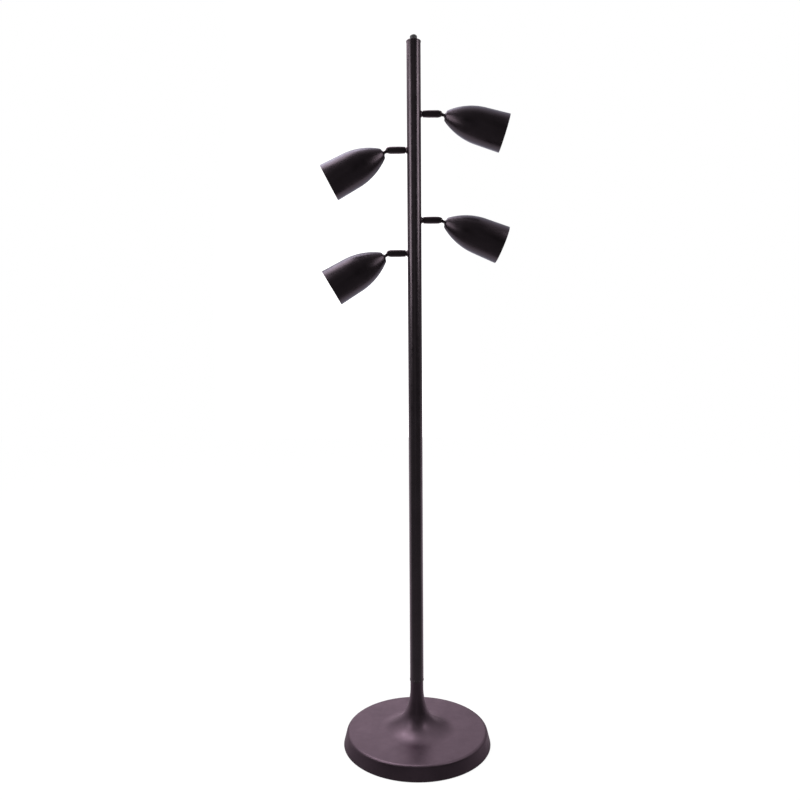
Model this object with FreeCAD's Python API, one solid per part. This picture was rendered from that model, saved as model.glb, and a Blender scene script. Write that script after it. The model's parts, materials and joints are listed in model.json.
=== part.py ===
import FreeCAD, Part
import math
import os

# Tree floor lamp: a weighted round base, a straight pole and four heads on swivel arms.
# Millimetres. The origin is on the floor, on the pole's axis, and +Z is up.
# The right arms point along +X, the left arms along -X, and the cord enters from +Y.

V = FreeCAD.Vector
ORIGIN = V(0, 0, 0)
ACROSS = V(1, 0, 0)
BACK = V(0, 1, 0)
UP = V(0, 0, 1)

# ------------------------------------------------------------------ fits
SLIP = 0.1              # radial, round a piece that is fixed in its hole
RUNNING = 0.05          # radial, round a shaft that turns in its hole
LOOSE = 0.3             # radial, round a pipe in its cast hole
PASSING = 0.5           # between pieces that move past each other
NUT_CHAMFER = 0.5       # height of the chamfer at the corners of every hexagon nut

# ------------------------------------------------------------------ base
BASE_RADIUS = 163.0     # where the rim wall would meet the floor
RIM_LEAN = 14.0         # degrees that the rim wall leans in
HEM_HEIGHT = 1.5        # lower edge of the cover above the floor
DISC_HEIGHT = 33.0      # top of the disc, at the foot of the trumpet
DISC_FALL = 1.2         # degrees that the disc falls towards the shoulder
SHOULDER_RADIUS = 7.0
FLARE_RADIUS = 65.0     # hollow curve at the foot of the trumpet
TAPER_RADIUS = 131.0    # longer hollow curve above it
TAPER_TURN = 24.0       # degrees that the longer curve turns
NECK_RADIUS = 14.3
NECK_TOP = 140.0
COVER_WALL = 1.2

PAD_THICKNESS = 2.5
PAD_MARGIN = 1.0        # how far the pad stays inside the weight's edge
WEIGHT_INSET = 17.0     # from the foot of the rim wall in to the weight's edge
WEIGHT_WEB = 10.0
WEIGHT_RIM = 9.0
HUB_RADIUS = 26.0
HUB_HEIGHT = 24.0       # top of the hub above the floor
NUT_POCKET_RADIUS = 16.0
NUT_POCKET_DEPTH = 9.0
CORD_SLOT = 11.0

CORD_BORE = 3.4         # radius
BUSHING_RADIUS = 4.9
BUSHING_FLANGE = 7.5
BUSHING_LENGTH = 13.0
BUSHING_HEIGHT = 10.5
BUSHING_PROUD = 2.0

# ------------------------------------------------------------------ pole
POLE_RADIUS = 15.0
POLE_WALL = 1.0
LOWER_LENGTH = 444.0
MIDDLE_LENGTH = 445.0
UPPER_LENGTH = 483.0
COUPLER_LENGTH = 40.0
COUPLER_BORE = 6.0
COUPLER_LEAD_IN = 1.5

COLLAR_HEIGHT = 6.0
COLLAR_PROUD = 0.5      # how far the collar's bead stands out from the pole
COLLAR_BEAD = 3.0       # height of the bead
COLLAR_CHAMFER = 0.2    # at both edges of the bead
COLLAR_SPIGOT = 5.0

PIPE_RADIUS = 4.9
PIPE_BORE = 3.4
PIPE_END = 4.0          # lower end above the floor
PIPE_GRIP = 16.0        # length that is held in the pole's foot bush
FOOT_BUSH_LENGTH = 22.0
PIPE_NUT_FLATS = 17.0
PIPE_NUT_THICKNESS = 5.0
PIPE_WASHER_RADIUS = 14.0
PIPE_WASHER_THICKNESS = 1.5

LEAD_RADIUS = 2.0

# ------------------------------------------------------------------ cap and switch
CAP_OVERHANG = 0.6      # how far the cap stands out from the pole
CAP_THICKNESS = 3.0
CAP_EDGE = 0.8          # rounding of the cap's rim
CAP_SKIRT = 9.0
CAP_SKIRT_WALL = 1.2

SWITCH_GAP = 0.7        # between the switch and the cap's skirt
SWITCH_LENGTH = 21.0
SWITCH_FLAT_DEPTH = 2.5 # cut off each of the body's two flat sides
BUSH_RISE = 5.0         # threaded bush above the cap
RING_NUT_WALL = 1.2
RING_NUT_THICKNESS = 2.2
SHAFT_RADIUS = 2.5
SHAFT_DEPTH = 16.0      # length of the shaft inside the switch body

KNOB_RADIUS = 7.6
KNOB_HEIGHT = 13.0
KNOB_DOME = 9.0         # radius of the domed top
KNOB_WALL = 1.0         # round the recess underneath
KNOB_RECESS_GAP = 0.6   # between the recess and the ring nut
KNOB_CROWN = 2.5        # solid above the shaft's hole
KNOB_GRIPS = 12
KNOB_FLUTE_RADIUS = 0.65
KNOB_FLUTE_DEPTH = 0.42

# ------------------------------------------------------------------ arms
UPPER_RIGHT_RISE = 335.5    # each arm's axis above the foot of the upper section
UPPER_LEFT_RISE = 260.6
LOWER_RIGHT_RISE = 113.5
LOWER_LEFT_RISE = 43.7

SEAT_LENGTH = 3.4
SEAT_WIDE = 7.4
SEAT_NARROW = 5.8
SEAT_FLARE = 2.0        # length over which the seat narrows
SEAT_DIP = 2.5          # how far the seat's back reaches round the pole

NIPPLE_RADIUS = 4.9
NIPPLE_BORE = 3.2
NIPPLE_TAIL = 10.0      # length inside the pole
NIPPLE_SHOWING = 8.6    # bare nipple between the seat and the barrel
NIPPLE_ENTRY = 13.0     # length inside the barrel
ARM_NUT_FLATS = 14.0
ARM_NUT_THICKNESS = 3.5
GROOVE_DEPTH = 1.0
GROOVE_WIDTH = 3.2
GROOVE_ENTRY = 6.5      # middle of the groove, inside the barrel

BARREL_THIN = 5.5
BARREL_THICK = 6.2
BARREL_SWELL = 9.0      # length over which the barrel thickens
BARREL_CHAMFER = 3.0
BARREL_NOSE = 4.9       # radius at the tip of the two ears
WIRE_HOLE = 2.0

BARREL_TO_PIN = 27.0    # from the barrel's end to the knuckle pin
EAR_RADIUS = 6.0
SLOT_DEPTH = 7.4        # from the pin towards the pole
PIN_RADIUS = 1.5
PIN_HEAD_RADIUS = 2.6
PIN_HEAD_THICKNESS = 1.2
PIN_HEAD_SINK = 0.3     # below the barrel's side
DRIVE_SLOT = 0.5        # width of the screwdriver slot
GRUB_RADIUS = 1.35
GRUB_CLEARANCE = 0.2    # above the floor of the groove

# ------------------------------------------------------------------ heads
TONGUE_RADIUS = 5.4
TONGUE_THICKNESS = 4.2
TONGUE_PLAY = 0.3       # each side, between the tongue and the barrel's two ears
STEM_RADIUS = 3.25
STEM_START = 6.9        # where the tongue becomes the round stem, from the pin
PIN_TO_SHADE = 13.0
FLANGE_RADIUS = 5.5
FLANGE_THICKNESS = 1.5
STUD_RADIUS = 3.9
STUD_LENGTH = 11.0
STUD_BORE = 1.8

SHADE_LENGTH = 131.0
SHADE_WALL = 1.0
SKIRT_START = 78.0      # where the curved nose turns into the straight skirt
SKIRT_RADIUS = 38.7
MOUTH_RADIUS = 40.9
TIP_RADIUS = 6.6        # flat at the blunt tip
NOSE_RADIUS = 7.0       # rounding round the flat

SHADE_NUT_FLATS = 11.0
SHADE_NUT_THICKNESS = 3.0

SOCKET_WALL = 3.1
SOCKET_EDGE = 1.0       # chamfer at the open end
SOCKET_COLLAR = 7.0
SOCKET_COLLAR_LENGTH = 4.5
SOCKET_GAP = 1.7        # least gap between the lampholder's shoulder and the shade
SOCKET_FLOOR = 17.0     # bottom of the bulb's hollow, from the tip of the shade
SOCKET_DEPTH = 28.0

BULB_BASE_RADIUS = 12.9
BULB_TIP_RADIUS = 4.0
BULB_TIP_HEIGHT = 3.5
BULB_BASE_LENGTH = 25.0
GLOBE_RADIUS = 22.5
GLOBE_NECK_ANGLE = 52.0  # below the globe's widest circle, where the neck begins
GLOBE_NECK_LENGTH = 12.5
GLOBE_WALL = 1.0

# ------------------------------------------------------------------ places that follow from these
WEIGHT_RADIUS = BASE_RADIUS - WEIGHT_INSET
PAD_RADIUS = WEIGHT_RADIUS - PAD_MARGIN
POLE_FOOT = NECK_TOP + COLLAR_HEIGHT
LOWER_SEAM = POLE_FOOT + LOWER_LENGTH
UPPER_SEAM = LOWER_SEAM + MIDDLE_LENGTH
POLE_TOP = UPPER_SEAM + UPPER_LENGTH
POLE_INSIDE = POLE_RADIUS - POLE_WALL
COLLAR_RADIUS = POLE_RADIUS + COLLAR_PROUD

CAP_TOP = POLE_TOP + CAP_THICKNESS
CAP_RADIUS = POLE_RADIUS + CAP_OVERHANG
SWITCH_RADIUS = POLE_INSIDE - SLIP - CAP_SKIRT_WALL - SWITCH_GAP
KNOB_RECESS = KNOB_RADIUS - KNOB_WALL
RING_NUT_RADIUS = KNOB_RECESS - KNOB_RECESS_GAP
BUSH_RADIUS = RING_NUT_RADIUS - RING_NUT_WALL

BARREL_START = POLE_RADIUS + SEAT_LENGTH + NIPPLE_SHOWING
NIPPLE_START = POLE_RADIUS - NIPPLE_TAIL
NIPPLE_END = BARREL_START + NIPPLE_ENTRY
GROOVE_PLACE = BARREL_START + GROOVE_ENTRY
PIN_REACH = BARREL_START + BARREL_TO_PIN
PIN_HEAD_FACE = BARREL_THICK - PIN_HEAD_SINK
SOCKET_BORE = BULB_BASE_RADIUS + PASSING
SOCKET_RADIUS = SOCKET_BORE + SOCKET_WALL


class Head:
    """One arm and its head: where the arm leaves the pole and how the head was left pointing."""

    def __init__(self, name, heading, rise, turn, drop):
        self.name = name
        self.heading = heading              # degrees from +X, about the pole
        self.height = UPPER_SEAM + rise     # of the arm's axis
        self.turn = turn                    # degrees that the barrel is turned on the arm
        self.drop = drop                    # degrees that the shade points below its arm


HEADS = [
    Head("upper_right", 0, UPPER_RIGHT_RISE, turn=0.5, drop=16.6),
    Head("upper_left", 180, UPPER_LEFT_RISE, turn=-4.6, drop=27.4),
    Head("lower_right", 0, LOWER_RIGHT_RISE, turn=4.8, drop=21.6),
    Head("lower_left", 180, LOWER_LEFT_RISE, turn=4.3, drop=30.6),
]


# ------------------------------------------------------------------ drawing helpers
class Outline:
    """A half-section: the first number is the distance from the axis, the second the place along it."""

    def __init__(self, radius, place):
        self.first = V(radius, 0, place)
        self.last = self.first
        self.edges = []

    def line(self, radius, place):
        return self.line_to(V(radius, 0, place))

    def line_to(self, point):
        if point.distanceToPoint(self.last) > 1e-6:
            self.edges.append(Part.makeLine(self.last, point))
            self.last = point
        return self

    def arc_to(self, point, centre):
        """The shorter arc about a centre."""
        bisector = (self.last + point) * 0.5 - centre
        bisector.normalize()
        middle = centre + bisector * point.distanceToPoint(centre)
        self.edges.append(Part.Arc(self.last, middle, point).toShape())
        self.last = point
        return self

    def turned(self):
        """The solid that the closed outline sweeps in one turn about the axis."""
        self.line_to(self.first)
        face = Part.Face(Part.Wire(self.edges))
        return face.revolve(ORIGIN, UP, 360)


def polar(radius, degrees):
    """A step in the half-section, at an angle above the outward direction."""
    return V(radius * math.cos(math.radians(degrees)), 0, radius * math.sin(math.radians(degrees)))


def meeting(point, along, other, other_along):
    """Where two lines of the half-section cross."""
    cross = along.x * other_along.z - along.z * other_along.x
    gap = other - point
    return point + along * ((gap.x * other_along.z - gap.z * other_along.x) / cross)


def bar(radius, low, high):
    return Part.makeCylinder(radius, high - low, V(0, 0, low))


def tube(radius, bore, low, high):
    return bar(radius, low, high).cut(bar(bore, low, high))


def corner_radius(across_flats):
    """From a hexagon's middle to its corners."""
    return across_flats / 2 / math.cos(math.radians(30))


def hexagon(across_flats, bore, low, high):
    """A hexagon nut about the Z axis, with its corners chamfered."""
    corner = corner_radius(across_flats)
    points = [V(corner * math.cos(math.radians(60 * i)), corner * math.sin(math.radians(60 * i)), low)
              for i in range(7)]
    prism = Part.Face(Part.makePolygon(points)).extrude(V(0, 0, high - low))
    crown = Outline(0, low).line(across_flats / 2, low).line(corner, low + NUT_CHAMFER)
    crown.line(corner, high - NUT_CHAMFER).line(across_flats / 2, high).line(0, high)
    return prism.common(crown.turned()).cut(bar(bore, low, high))


def block(width, depth, low, high):
    return Part.makeBox(width, depth, high - low, V(-width / 2, -depth / 2, low))


def cross_bar(radius, front, back, place):
    """A round bar along Y, at a place on the Z axis."""
    return Part.makeCylinder(radius, back - front, V(0, front, place), BACK)


def on_arm(shape, head):
    """A piece drawn along Z from the pole's axis, put on its arm."""
    placed = shape.copy()
    placed.rotate(ORIGIN, BACK, 90)
    placed.rotate(ORIGIN, UP, head.heading)
    placed.translate(V(0, 0, head.height))
    return placed


def on_swivel(shape, head):
    """A piece drawn along Z from the pole's axis, turned with the barrel."""
    placed = shape.copy()
    placed.rotate(ORIGIN, UP, head.turn)
    return on_arm(placed, head)


def on_head(shape, head):
    """A piece drawn along Z from the knuckle pin, tilted with the shade."""
    placed = shape.copy()
    placed.rotate(ORIGIN, BACK, head.drop)
    placed.translate(V(0, 0, PIN_REACH))
    return on_swivel(placed, head)


# ------------------------------------------------------------------ base
def cover_skin(inset):
    """Corner points and arc centres of the base cover's section, this far inside its outer skin."""
    disc_normal = polar(1, 90 - DISC_FALL)
    disc_along = polar(1, -DISC_FALL)
    rim_normal = polar(1, RIM_LEAN)
    rim_along = polar(1, RIM_LEAN - 90)
    inward = polar(-1, TAPER_TURN)
    taper_step = inward * (TAPER_RADIUS - FLARE_RADIUS)
    flare_centre = V(NECK_RADIUS + TAPER_RADIUS + taper_step.x, 0, DISC_HEIGHT + FLARE_RADIUS * disc_normal.z)
    taper_centre = flare_centre - taper_step
    disc_start = flare_centre - disc_normal * FLARE_RADIUS
    rim_foot = V(BASE_RADIUS, 0, 0)
    shoulder_centre = meeting(disc_start - disc_normal * SHOULDER_RADIUS, disc_along,
                              rim_foot - rim_normal * SHOULDER_RADIUS, rim_along)
    rim_start = shoulder_centre + rim_normal * (SHOULDER_RADIUS - inset)
    return {
        "neck_top": V(NECK_RADIUS - inset, 0, NECK_TOP),
        "neck_foot": V(NECK_RADIUS - inset, 0, taper_centre.z),
        "taper_centre": taper_centre,
        "taper_end": flare_centre + inward * (FLARE_RADIUS + inset),
        "flare_centre": flare_centre,
        "disc_start": flare_centre - disc_normal * (FLARE_RADIUS + inset),
        "disc_end": shoulder_centre + disc_normal * (SHOULDER_RADIUS - inset),
        "shoulder_centre": shoulder_centre,
        "rim_start": rim_start,
        "rim_end": meeting(rim_start, rim_along, V(0, 0, HEM_HEIGHT), ACROSS),
    }


def filled_cover(inset):
    """Everything below one skin of the cover, down to its hem."""
    skin = cover_skin(inset)
    section = Outline(0, NECK_TOP).line_to(skin["neck_top"]).line_to(skin["neck_foot"])
    section.arc_to(skin["taper_end"], skin["taper_centre"])
    section.arc_to(skin["disc_start"], skin["flare_centre"]).line_to(skin["disc_end"])
    section.arc_to(skin["rim_start"], skin["shoulder_centre"]).line_to(skin["rim_end"])
    return section.line(0, HEM_HEIGHT).turned()


def bushing_hole(radius):
    return Part.makeCylinder(radius, BASE_RADIUS, V(0, WEIGHT_RADIUS, BUSHING_HEIGHT), BACK)


def base_cover():
    """Spun cover: rim, rounded shoulder, disc and trumpet neck in one thin wall."""
    shell = filled_cover(0).cut(filled_cover(COVER_WALL))
    return shell.cut(bushing_hole(BUSHING_RADIUS + SLIP))


def weight_top():
    """Lowest point of the disc's underside, on which the cover rests."""
    return cover_skin(COVER_WALL)["disc_end"].z


def base_weight():
    """Cast tray: a heavy web, a raised rim under the cover and a hub for the centre pipe."""
    bottom = PAD_THICKNESS
    web_top = bottom + WEIGHT_WEB
    section = Outline(PIPE_RADIUS + LOOSE, bottom + NUT_POCKET_DEPTH)
    section.line(NUT_POCKET_RADIUS, bottom + NUT_POCKET_DEPTH).line(NUT_POCKET_RADIUS, bottom)
    section.line(WEIGHT_RADIUS, bottom).line(WEIGHT_RADIUS, weight_top())
    section.line(WEIGHT_RADIUS - WEIGHT_RIM, weight_top())
    section.line(WEIGHT_RADIUS - WEIGHT_RIM, web_top).line(HUB_RADIUS, web_top)
    section.line(HUB_RADIUS, HUB_HEIGHT).line(PIPE_RADIUS + LOOSE, HUB_HEIGHT)
    slot = Part.makeBox(CORD_SLOT, WEIGHT_RADIUS + WEIGHT_RIM, BUSHING_HEIGHT + CORD_SLOT / 2 - bottom,
                        V(-CORD_SLOT / 2, 0, bottom))
    pocket_floor = bar(NUT_POCKET_RADIUS, bottom + NUT_POCKET_DEPTH, HUB_HEIGHT)
    return section.turned().cut(slot.cut(pocket_floor))


def foot_pad():
    return bar(PAD_RADIUS, 0, PAD_THICKNESS)


def cord_bushing():
    """Moulded bushing in the rear of the rim, shaped to the leaning wall on both sides."""
    outer_skin = filled_cover(0)
    inner_skin = filled_cover(COVER_WALL)
    wall = meeting(V(BASE_RADIUS, 0, 0), polar(1, RIM_LEAN + 90), V(0, 0, BUSHING_HEIGHT), ACROSS).x
    outside = wall + BUSHING_PROUD
    inside = outside - BUSHING_LENGTH
    flange = Part.makeCylinder(BUSHING_FLANGE, outside - inside, V(0, inside, BUSHING_HEIGHT), BACK)
    flange = flange.cut(outer_skin)
    lip_radius = (BUSHING_RADIUS + BUSHING_FLANGE) / 2
    lip = Part.makeCylinder(lip_radius, outside - inside, V(0, inside, BUSHING_HEIGHT), BACK)
    lip_end = Part.makeCylinder(BUSHING_FLANGE, BUSHING_LENGTH / 2, V(0, inside, BUSHING_HEIGHT), BACK)
    lip = lip.common(inner_skin).cut(lip_end)
    body = Part.makeCylinder(BUSHING_RADIUS, outside - inside, V(0, inside, BUSHING_HEIGHT), BACK)
    bore = Part.makeCylinder(CORD_BORE, outside - inside, V(0, inside, BUSHING_HEIGHT), BACK)
    return body.fuse([flange, lip]).cut(bore).removeSplitter()


# ------------------------------------------------------------------ centre pipe and pole
def nut_seat():
    """Underside of the hub, on which the washer bears."""
    return PAD_THICKNESS + NUT_POCKET_DEPTH


def pipe_washer():
    return tube(PIPE_WASHER_RADIUS, PIPE_RADIUS + SLIP, nut_seat() - PIPE_WASHER_THICKNESS, nut_seat())


def pipe_nut():
    top = nut_seat() - PIPE_WASHER_THICKNESS
    return hexagon(PIPE_NUT_FLATS, PIPE_RADIUS + SLIP, top - PIPE_NUT_THICKNESS, top)


def foot_bush_start():
    return POLE_FOOT + COLLAR_SPIGOT


def centre_pipe():
    return tube(PIPE_RADIUS, PIPE_BORE, PIPE_END, foot_bush_start() + PIPE_GRIP)


def neck_collar():
    """Turned collar between the trumpet and the pole, with a spigot into each."""
    neck_inside = NECK_RADIUS - COVER_WALL - SLIP
    bead_low = NECK_TOP + (COLLAR_HEIGHT - COLLAR_BEAD) / 2
    bead_high = bead_low + COLLAR_BEAD
    section = Outline(PIPE_RADIUS + SLIP, NECK_TOP - COLLAR_SPIGOT)
    section.line(neck_inside, NECK_TOP - COLLAR_SPIGOT).line(neck_inside, NECK_TOP)
    section.line(NECK_RADIUS, NECK_TOP).line(NECK_RADIUS, bead_low)
    section.line(COLLAR_RADIUS - COLLAR_CHAMFER, bead_low).line(COLLAR_RADIUS, bead_low + COLLAR_CHAMFER)
    section.line(COLLAR_RADIUS, bead_high - COLLAR_CHAMFER).line(COLLAR_RADIUS - COLLAR_CHAMFER, bead_high)
    section.line(POLE_RADIUS, bead_high).line(POLE_RADIUS, POLE_FOOT)
    section.line(POLE_INSIDE - SLIP, POLE_FOOT).line(POLE_INSIDE - SLIP, POLE_FOOT + COLLAR_SPIGOT)
    section.line(PIPE_RADIUS + SLIP, POLE_FOOT + COLLAR_SPIGOT)
    return section.turned()


def pole_foot_bush():
    start = foot_bush_start()
    return tube(POLE_INSIDE - SLIP, PIPE_RADIUS + SLIP, start, start + FOOT_BUSH_LENGTH)


def pole_section(low, high):
    return tube(POLE_RADIUS, POLE_INSIDE, low, high)


def upper_pole():
    """Top section, with a hole through one wall for each arm."""
    section = pole_section(UPPER_SEAM, POLE_TOP)
    for head in HEADS:
        section = section.cut(on_arm(bar(NIPPLE_RADIUS + SLIP, 0, POLE_RADIUS * 2), head))
    return section


def pole_coupler(seam):
    """Sleeve inside a seam, half in each section."""
    half = COUPLER_LENGTH / 2
    radius = POLE_INSIDE - SLIP
    end = radius - COUPLER_LEAD_IN
    section = Outline(COUPLER_BORE, seam - half).line(end, seam - half)
    section.line(radius, seam - half + COUPLER_LEAD_IN).line(radius, seam + half - COUPLER_LEAD_IN)
    section.line(end, seam + half).line(COUPLER_BORE, seam + half)
    return section.turned()


# ------------------------------------------------------------------ cap and switch
def top_cap():
    """Turned cap with a rounded rim and a skirt inside the pole."""
    skirt = POLE_INSIDE - SLIP
    bore = BUSH_RADIUS + SLIP
    section = Outline(bore, POLE_TOP).line(skirt - CAP_SKIRT_WALL, POLE_TOP)
    section.line(skirt - CAP_SKIRT_WALL, POLE_TOP - CAP_SKIRT).line(skirt, POLE_TOP - CAP_SKIRT)
    section.line(skirt, POLE_TOP).line(CAP_RADIUS - CAP_EDGE, POLE_TOP)
    section.arc_to(V(CAP_RADIUS, 0, POLE_TOP + CAP_EDGE), V(CAP_RADIUS - CAP_EDGE, 0, POLE_TOP + CAP_EDGE))
    section.line(CAP_RADIUS, CAP_TOP - CAP_EDGE)
    section.arc_to(V(CAP_RADIUS - CAP_EDGE, 0, CAP_TOP), V(CAP_RADIUS - CAP_EDGE, 0, CAP_TOP - CAP_EDGE))
    section.line(bore, CAP_TOP)
    return section.turned()


def switch_floor():
    return POLE_TOP - SWITCH_LENGTH


def shaft_end():
    """Lower end of the shaft, inside the switch body."""
    return POLE_TOP - SHAFT_DEPTH


def switch_body():
    """Rotary switch: a round body with two flats and the threaded bush that holds it in the cap."""
    body = bar(SWITCH_RADIUS, switch_floor(), POLE_TOP)
    across_flats = (SWITCH_RADIUS - SWITCH_FLAT_DEPTH) * 2
    body = body.common(block(across_flats, SWITCH_RADIUS * 2, switch_floor(), POLE_TOP))
    body = body.fuse(bar(BUSH_RADIUS, POLE_TOP, CAP_TOP + BUSH_RISE))
    return body.cut(bar(SHAFT_RADIUS + RUNNING, shaft_end() - PASSING, CAP_TOP + BUSH_RISE))


def switch_ring_nut():
    return tube(RING_NUT_RADIUS, BUSH_RADIUS + SLIP, CAP_TOP, CAP_TOP + RING_NUT_THICKNESS)


def knob_top():
    return CAP_TOP + PASSING + KNOB_HEIGHT


def knob_hub():
    """Roof of the knob's recess, above the threaded bush."""
    return CAP_TOP + BUSH_RISE + PASSING


def switch_knob():
    """Domed knob with grip flutes, hollow underneath to clear the ring nut."""
    low = CAP_TOP + PASSING
    dome_centre = V(0, 0, knob_top() - KNOB_DOME)
    shoulder = dome_centre.z + math.sqrt(KNOB_DOME ** 2 - KNOB_RADIUS ** 2)
    section = Outline(0, knob_hub()).line(KNOB_RECESS, knob_hub()).line(KNOB_RECESS, low)
    section.line(KNOB_RADIUS, low).line(KNOB_RADIUS, shoulder)
    section.arc_to(V(0, 0, knob_top()), dome_centre)
    knob = section.turned()
    for i in range(KNOB_GRIPS):
        flute = bar(KNOB_FLUTE_RADIUS, low, knob_top())
        flute.translate(polar(KNOB_RADIUS + KNOB_FLUTE_RADIUS - KNOB_FLUTE_DEPTH, 0))
        flute.rotate(ORIGIN, UP, 360 / KNOB_GRIPS * i)
        knob = knob.cut(flute)
    return knob.cut(bar(SHAFT_RADIUS + SLIP, knob_hub() - PASSING, shaft_top()))


def shaft_top():
    return knob_top() - KNOB_CROWN


def switch_shaft():
    return bar(SHAFT_RADIUS, shaft_end(), shaft_top() - SLIP)


# ------------------------------------------------------------------ arms
def arm_seat():
    """Flared seat that fits round the pole."""
    face = POLE_RADIUS + SEAT_LENGTH
    back = POLE_RADIUS - SEAT_DIP
    bore = NIPPLE_RADIUS + SLIP
    section = Outline(bore, back).line(SEAT_WIDE, back).line(SEAT_WIDE, POLE_RADIUS)
    section.line(SEAT_NARROW, POLE_RADIUS + SEAT_FLARE).line(SEAT_NARROW, face).line(bore, face)
    pole = Part.makeCylinder(POLE_RADIUS, SEAT_WIDE * 2, V(-SEAT_WIDE, 0, 0), ACROSS)
    return section.turned().cut(pole)


def arm_nut():
    """Nut inside the pole: its corners bear on the round wall."""
    face = math.sqrt(POLE_INSIDE ** 2 - corner_radius(ARM_NUT_FLATS) ** 2) - SLIP
    return hexagon(ARM_NUT_FLATS, NIPPLE_RADIUS + SLIP, face - ARM_NUT_THICKNESS, face)


def arm_nipple():
    """Hollow nipple through the pole wall, grooved where the barrel's screw runs."""
    groove_radius = NIPPLE_RADIUS - GROOVE_DEPTH
    low = GROOVE_PLACE - GROOVE_WIDTH / 2
    high = GROOVE_PLACE + GROOVE_WIDTH / 2
    section = Outline(NIPPLE_BORE, NIPPLE_START).line(NIPPLE_RADIUS, NIPPLE_START)
    section.line(NIPPLE_RADIUS, low).line(groove_radius, low)
    section.line(groove_radius, high).line(NIPPLE_RADIUS, high)
    section.line(NIPPLE_RADIUS, NIPPLE_END).line(NIPPLE_BORE, NIPPLE_END)
    return section.turned()


def barrel():
    """Turned barrel: bored for the nipple at one end, slotted for the tongue at the other."""
    bore_end = NIPPLE_END + PASSING
    tip = PIN_REACH + EAR_RADIUS
    edge = (BARREL_THIN - NIPPLE_RADIUS) / 2
    section = Outline(0, bore_end).line(NIPPLE_RADIUS + RUNNING, bore_end)
    section.line(NIPPLE_RADIUS + RUNNING, BARREL_START).line(BARREL_THIN - edge, BARREL_START)
    section.line(BARREL_THIN, BARREL_START + edge).line(BARREL_THICK, BARREL_START + BARREL_SWELL)
    section.line(BARREL_THICK, tip - BARREL_CHAMFER).line(BARREL_NOSE, tip).line(0, tip)
    shape = section.turned()
    shape = shape.cut(bar(WIRE_HOLE, bore_end, tip))
    slot_width = TONGUE_THICKNESS + TONGUE_PLAY * 2
    shape = shape.cut(block(BARREL_THICK * 2, slot_width, PIN_REACH - SLOT_DEPTH, tip))
    ears = cross_bar(EAR_RADIUS, -BARREL_THICK, BARREL_THICK, PIN_REACH)
    ears = ears.fuse(block(BARREL_THICK * 2, BARREL_THICK * 2, BARREL_START, PIN_REACH))
    shape = shape.common(ears)
    shape = shape.cut(cross_bar(PIN_RADIUS + RUNNING, -BARREL_THICK, BARREL_THICK, PIN_REACH))
    for front, back in ((-BARREL_THICK, -pin_ledge()), (pin_ledge(), BARREL_THICK)):
        shape = shape.cut(cross_bar(PIN_HEAD_RADIUS + SLIP, front, back, PIN_REACH))
    grub_hole = Part.makeCylinder(GRUB_RADIUS + RUNNING, BARREL_THICK, V(0, 0, GROOVE_PLACE), ACROSS)
    return shape.cut(grub_hole)


def pin_ledge():
    """Floor of the recesses for the pivot screw's head and nut, from the middle of the slot."""
    return PIN_HEAD_FACE - PIN_HEAD_THICKNESS


def barrel_screws():
    """The knuckle's pivot screw with its nut, and the grub screw that keeps the barrel on."""
    screw = cross_bar(PIN_RADIUS, -pin_ledge(), pin_ledge(), PIN_REACH)
    head = cross_bar(PIN_HEAD_RADIUS, -PIN_HEAD_FACE, -pin_ledge(), PIN_REACH)
    drive = Part.makeBox(DRIVE_SLOT, PIN_HEAD_THICKNESS / 2, PIN_HEAD_RADIUS * 2,
                         V(-DRIVE_SLOT / 2, -PIN_HEAD_FACE, PIN_REACH - PIN_HEAD_RADIUS))
    nut = cross_bar(PIN_HEAD_RADIUS, pin_ledge(), PIN_HEAD_FACE, PIN_REACH)
    pivot = screw.fuse([head, nut]).cut(drive).removeSplitter()
    grub_tip = NIPPLE_RADIUS - GROOVE_DEPTH + GRUB_CLEARANCE
    grub = Part.makeCylinder(GRUB_RADIUS, BARREL_THIN - grub_tip, V(grub_tip, 0, GROOVE_PLACE), ACROSS)
    return Part.makeCompound([pivot, grub])


# ------------------------------------------------------------------ heads, drawn from the knuckle pin
def knuckle():
    """Tongue, stem, flange and threaded stud in one turned and milled piece."""
    flange_start = PIN_TO_SHADE - FLANGE_THICKNESS
    section = Outline(0, STEM_START).line(STEM_RADIUS, STEM_START).line(STEM_RADIUS, flange_start)
    section.line(FLANGE_RADIUS - FLANGE_THICKNESS / 2, flange_start)
    section.line(FLANGE_RADIUS, flange_start + FLANGE_THICKNESS / 2).line(FLANGE_RADIUS, PIN_TO_SHADE)
    section.line(STUD_RADIUS, PIN_TO_SHADE).line(STUD_RADIUS, PIN_TO_SHADE + STUD_LENGTH)
    section.line(0, PIN_TO_SHADE + STUD_LENGTH)
    half = TONGUE_THICKNESS / 2
    tongue = cross_bar(TONGUE_RADIUS, -half, half, 0)
    web = block(STEM_RADIUS * 2, TONGUE_THICKNESS, 0, STEM_START)
    shape = section.turned().fuse([tongue, web])
    shape = shape.cut(cross_bar(PIN_RADIUS + RUNNING, -half, half, 0))
    shape = shape.cut(bar(STUD_BORE, STEM_START + SLIP, PIN_TO_SHADE + STUD_LENGTH))
    return shape.removeSplitter()


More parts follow.
